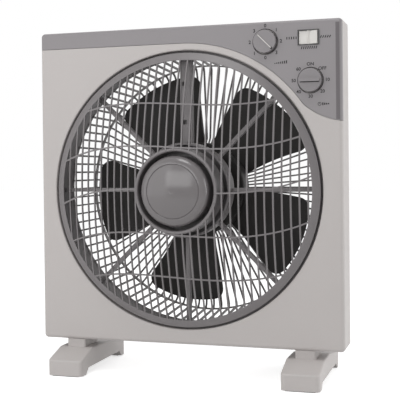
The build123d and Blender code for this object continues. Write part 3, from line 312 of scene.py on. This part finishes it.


# ---------------------------------------------------------------- printed marks and painted shade
INK_THICK = 0.06 * MM
LETTER_SWELL = 0.1 * MM  # makes the strokes of the lettering bolder
CAPITAL_SHARE = 0.7  # a capital's height over the lettering's size
EIGHTH_TURN = 45  # degrees
SPEED_NUMBERS_RADIUS = 17.9 * MM
SPEED_NUMBERS_HEIGHT = 3.8 * MM
TIMER_NUMBERS_ACROSS = 18.8 * MM
TIMER_NUMBERS_UP = 17.8 * MM
TIMER_NUMBERS_HEIGHT = 3.6 * MM
# Width of the dark ring of painted shade round each dial's hole.
GAP_SHADE_WIDTH = 0.55 * MM
POINTER_SLOPE = math.radians(135)
POINTER_LENGTH = 21 * MM
POINTER_WIDTH = 0.8 * MM
POINTER_END_REACH = 11.2 * MM
POINTER_END_SIZE = 2.4 * MM
# Painted shadow under the timer knob's grip.
GRIP_SHADOW_DROP = 2.2 * MM
GRIP_SHADOW_LENGTH = 21 * MM
GRIP_SHADOW_WIDTH = 0.9 * MM
GATE_RADIUS = 1.8 * MM


def add_piece(name, bm, material, body):
    """Finish a bmesh as an object that rides on a body."""
    mesh = bpy.data.meshes.new(name)
    bmesh.ops.recalc_face_normals(bm, faces=bm.faces)
    bm.to_mesh(mesh)
    bm.free()
    mesh.materials.append(material)
    piece = bpy.data.objects.new(name, mesh)
    bpy.context.scene.collection.objects.link(piece)
    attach(piece, body)
    return piece


def on_panel(x, z, face=PANEL_FACE):
    """Transform from a mark's own plane to the panel's face, or to a knob's."""
    turn = Matrix.Rotation(math.radians(90), 4, "X")
    return Matrix.Translation((x, face, z)) @ turn


def add_words(bm, words, x, z, height):
    """Add flat lettering of this height, centred at a place on the panel."""
    curve = bpy.data.curves.new("lettering", "FONT")
    curve.body = words
    curve.size = height / CAPITAL_SHARE
    curve.align_x = "CENTER"
    curve.align_y = "CENTER"
    curve.extrude = INK_THICK / 2
    curve.offset = LETTER_SWELL
    curve.resolution_u = 3
    holder = bpy.data.objects.new("lettering", curve)
    bpy.context.scene.collection.objects.link(holder)
    bpy.context.view_layer.update()
    mesh = bpy.data.meshes.new_from_object(holder)
    mesh.transform(on_panel(x, z) @ Matrix.Translation((0, 0, INK_THICK / 2)))
    bm.from_mesh(mesh)
    bpy.data.objects.remove(holder)
    bpy.data.curves.remove(curve)
    bpy.data.meshes.remove(mesh)


def add_stroke(bm, x, z, length, width, angle=0.0, face=PANEL_FACE):
    """Add one straight printed stroke, centred at a place on the panel or on a knob."""
    made = bmesh.ops.create_cube(bm, size=1.0)["verts"]
    scale = Matrix.Diagonal((length, width, INK_THICK, 1))
    lift = Matrix.Translation((0, 0, INK_THICK / 2))
    place = on_panel(x, z, face) @ Matrix.Rotation(angle, 4, "Z") @ lift @ scale
    bmesh.ops.transform(bm, matrix=place, verts=made)


def add_ring(bm, x, z, radius, width, segments=24):
    """Add one printed circle."""
    made = bmesh.ops.create_circle(bm, segments=segments, radius=radius)["verts"]
    edges = list({edge for vertex in made for edge in vertex.link_edges})
    grown = bmesh.ops.extrude_edge_only(bm, edges=edges)["geom"]
    outer = [part for part in grown if isinstance(part, bmesh.types.BMVert)]
    share = (radius + width) / radius
    bmesh.ops.scale(bm, vec=(share, share, 1), verts=outer)
    faces = list({face for vertex in outer for face in vertex.link_faces})
    raised = bmesh.ops.extrude_face_region(bm, geom=faces)["geom"]
    top = [part for part in raised if isinstance(part, bmesh.types.BMVert)]
    bmesh.ops.translate(bm, vec=(0, 0, INK_THICK), verts=top)
    bmesh.ops.transform(bm, matrix=on_panel(x, z), verts=made + outer + top)


def add_round_numbers(bm, dial, labels, across, up, height):
    """Add a label at every eighth of a turn round a dial, clockwise from the top."""
    for step, words in enumerate(labels):
        angle = math.radians(90 - EIGHTH_TURN * step)
        x = dial.x + across * math.cos(angle)
        z = dial.z + up * math.sin(angle)
        add_words(bm, words, x, z, height)


def make_dial_numbers():
    """Numbers round the two dials."""
    bm = bmesh.new()
    add_round_numbers(
        bm,
        SPEED_DIAL,
        ("0", "1", "2", "3", "0", "1", "2", "3"),
        SPEED_NUMBERS_RADIUS,
        SPEED_NUMBERS_RADIUS,
        SPEED_NUMBERS_HEIGHT,
    )
    add_round_numbers(
        bm,
        TIMER_DIAL,
        ("ON", "OFF", "10", "20", "30", "40", "50", "60"),
        TIMER_NUMBERS_ACROSS,
        TIMER_NUMBERS_UP,
        TIMER_NUMBERS_HEIGHT,
    )
    return add_piece("dial_numbers", bm, INK, "housing")


def add_rising_bars(bm):
    """Speed sign: seven bars that grow to the right, on one base line."""
    left = FAN_AXIS.x + 108.5 * MM
    base = BODY_MIDDLE_Z + 136 * MM
    pitch = 2.2 * MM
    for bar in range(7):
        height = (1.2 + 0.38 * bar) * MM
        add_stroke(bm, left + pitch * bar, base + height / 2, 1.1 * MM, height)


def add_clock(bm):
    """Timer sign: a clock face with two hands, and four ticks that run down."""
    x = FAN_AXIS.x + 158.2 * MM
    z = BODY_MIDDLE_Z + 90 * MM
    add_ring(bm, x, z, 1.5 * MM, 0.5 * MM)
    add_stroke(bm, x, z + 0.5 * MM, 0.4 * MM, 1.2 * MM)
    add_stroke(bm, x + 0.4 * MM, z, 0.9 * MM, 0.4 * MM)
    for tick in range(4):
        height = (2.9 - 0.5 * tick) * MM
        add_stroke(bm, x + (3.6 + 2.1 * tick) * MM, z, 1.3 * MM, height)


def add_slats(bm, count, first, pitch, up, width, height, lean):
    """Louvre sign: a row of slats, leaning by an angle in degrees."""
    for slat in range(count):
        x = FAN_AXIS.x + (first + pitch * slat) * MM
        add_stroke(bm, x, BODY_MIDDLE_Z + up * MM, width * MM, height * MM, math.radians(lean))


def make_signs():
    """Plain signs beside the controls: rising bars, a clock face and louvre slats."""
    bm = bmesh.new()
    add_rising_bars(bm)
    add_clock(bm)
    add_slats(bm, 8, 138.8, 2.35, 152.6, 0.9, 3.2, -18)
    add_slats(bm, 5, 122.3, 2.6, 164, 1.0, 2.8, 0)
    add_slats(bm, 5, 160.3, 2.5, 164, 1.0, 3.0, -30)
    return add_piece("control_signs", bm, INK, "housing")


def make_dial_gap_painted_shade():
    """Painted shade: a dark line round each dial's hole, standing in for the shadow in the gap
    round the knob.
    """
    bm = bmesh.new()
    for dial in (SPEED_DIAL, TIMER_DIAL):
        add_ring(bm, dial.x, dial.z, DIAL_HOLE_RADIUS, GAP_SHADE_WIDTH, segments=64)
    return add_piece("dial_gap_painted_shade", bm, INK, "housing")


def make_panel_end_shade():
    """Painted shade: a darker band down the panel's right-hand end, standing in for the shade on
    its rounded edge.
    """
    bm = bmesh.new()
    top = panel_high.z - 4.5 * MM
    low = panel_low.z + 1.5 * MM
    middle_x = panel_high.x - 5.2 * MM
    add_stroke(bm, middle_x, (top + low) / 2, 4.2 * MM, top - low)
    return add_piece("panel_end_painted_shade", bm, PAINTED_END_SHADE, "housing")


def make_speed_pointer():
    """Pale line along the speed knob's pointer, and a dark mark on the disc at its end."""
    bm = bmesh.new()
    add_stroke(
        bm,
        SPEED_DIAL.x,
        SPEED_DIAL.z,
        POINTER_LENGTH,
        POINTER_WIDTH,
        POINTER_SLOPE,
        POINTER_FACE,
    )
    add_piece("speed_pointer", bm, FINISHES["rocker_plastic"], "speed_dial")
    bm = bmesh.new()
    reach = POINTER_END_REACH * math.cos(POINTER_SLOPE)
    add_stroke(
        bm,
        SPEED_DIAL.x - reach,
        SPEED_DIAL.z + reach,
        POINTER_END_SIZE,
        POINTER_END_SIZE,
        POINTER_SLOPE,
        POINTER_FACE + POINTER_RISE,
    )
    return add_piece("speed_pointer_end", bm, INK, "speed_dial")


def make_grip_shadow():
    """Painted shadow: a dark line on the timer knob's disc, along the lower side of its grip,
    where the grip casts its shadow.
    """
    bm = bmesh.new()
    add_stroke(
        bm,
        TIMER_DIAL.x,
        TIMER_DIAL.z - GRIP_SHADOW_DROP,
        GRIP_SHADOW_LENGTH,
        GRIP_SHADOW_WIDTH,
        face=GRIP_FACE + GRIP_RISE,
    )
    return add_piece("timer_grip_painted_shadow", bm, INK, "timer_dial")


def make_gate_mark():
    """Flat spot where the cap's plastic ran into the mould, at the middle of its dome."""
    bm = bmesh.new()
    bmesh.ops.create_cone(
        bm,
        cap_ends=True,
        segments=48,
        radius1=GATE_RADIUS,
        radius2=GATE_RADIUS,
        depth=INK_THICK,
        matrix=on_panel(FAN_AXIS.x, FAN_AXIS.z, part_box("louvre_cap")[0].y),
    )
    return add_piece("cap_gate_mark", bm, FINISHES["cap_plastic"], "louvre")


make_dial_numbers()
make_signs()
make_dial_gap_painted_shade()
make_panel_end_shade()
make_speed_pointer()
make_grip_shadow()
make_gate_mark()


# ---------------------------------------------------------------- floor, backdrop, lamps
WORLD_LIGHT = 0.46  # strength of the world as light; what is seen of it is plain white
FLOOR_PAPER = 0.8
FLOOR_GLOW = 0.66  # lifts the lit paper to white where it is seen
FLOOR_HALF = 6.0


def white_when_seen(tree):
    """Mask that is 1 for what the camera, gloss and glass see, and 0 for light."""
    rays = tree.nodes.new("ShaderNodeLightPath")
    seen = maths(tree, "MAXIMUM", rays.outputs["Is Camera Ray"], rays.outputs["Is Glossy Ray"])
    return maths(tree, "MAXIMUM", seen, rays.outputs["Is Transmission Ray"])


def paper_white(name):
    """White paper that takes the object's shadow and shows white all the way back."""
    material = bpy.data.materials.new(name)
    material.use_nodes = True
    tree = material.node_tree
    shader = tree.nodes["Principled BSDF"]
    shader.inputs["Base Color"].default_value = (FLOOR_PAPER, FLOOR_PAPER, FLOOR_PAPER, 1)
    shader.inputs["Roughness"].default_value = 0.9
    shader.inputs["Specular IOR Level"].default_value = 0.0
    shader.inputs["Emission Color"].default_value = (1, 1, 1, 1)
    glow = maths(tree, "MULTIPLY", white_when_seen(tree), FLOOR_GLOW)
    tree.links.new(glow, shader.inputs["Emission Strength"])
    return material


def make_floor():
    """Wide pale floor."""
    bm = bmesh.new()
    bmesh.ops.create_grid(bm, x_segments=1, y_segments=1, size=FLOOR_HALF)
    mesh = bpy.data.meshes.new("floor")
    bm.to_mesh(mesh)
    bm.free()
    mesh.materials.append(paper_white("floor_paper"))
    floor = bpy.data.objects.new("floor", mesh)
    bpy.context.scene.collection.objects.link(floor)


def make_world():
    """Even studio light, white to the camera and in reflections."""
    world = bpy.data.worlds.new("studio")
    bpy.context.scene.world = world
    world.use_nodes = True
    tree = world.node_tree
    background = tree.nodes["Background"]
    strength = tree.nodes.new("ShaderNodeMapRange")
    strength.inputs["To Min"].default_value = WORLD_LIGHT
    strength.inputs["To Max"].default_value = 1.0
    tree.links.new(white_when_seen(tree), strength.inputs["Value"])
    background.inputs["Color"].default_value = (1, 1, 1, 1)
    tree.links.new(strength.outputs["Result"], background.inputs["Strength"])


def add_lamp(name, place, target, width, height, power):
    """Soft rectangular lamp aimed at a point."""
    light = bpy.data.lights.new(name, "AREA")
    light.shape = "RECTANGLE"
    light.size = width
    light.size_y = height
    light.energy = power
    lamp = bpy.data.objects.new(name, light)
    bpy.context.scene.collection.objects.link(lamp)
    aim = (Vector(target) - Vector(place)).to_track_quat("-Z", "Y")
    lamp.matrix_world = Matrix.Translation(place) @ aim.to_matrix().to_4x4()


make_floor()
make_world()
add_lamp("key_softbox", (-0.95, -0.95, 0.6), (0, 0, 0.22), 1.2, 1.2, 5.2)
add_lamp("cap_softbox", (-0.15, -1.15, 0.52), (0, -0.07, 0.22), 0.72, 0.42, 2.6)
add_lamp("overhead_softbox", (0.1, -0.35, 1.4), (0, -0.05, 0.2), 0.5, 0.5, 4.5)
add_lamp("side_softbox", (1.5, 0.35, 0.45), (0.18, 0, 0.22), 1.0, 1.0, 10.5)


# ---------------------------------------------------------------- camera
def make_camera():
    """Camera a little to the right of the fan's front, at the height of its axis."""
    camera = bpy.data.cameras.new("camera")
    camera.sensor_width = 36
    camera.lens = 84.17
    camera.shift_x = 0.0407
    camera.shift_y = -0.0795
    camera.clip_end = 50
    view = bpy.data.objects.new("camera", camera)
    bpy.context.scene.collection.objects.link(view)
    turn = (
        Matrix.Rotation(math.radians(17.80), 4, "Z")
        @ Matrix.Rotation(math.radians(90 - 0.562), 4, "X")
        @ Matrix.Rotation(math.radians(-0.607), 4, "Z")
    )
    view.matrix_world = Matrix.Translation((0.3284, -1.0581, 0.2536)) @ turn
    bpy.context.scene.camera = view


make_camera()
bpy.context.scene.view_settings.view_transform = "Standard"
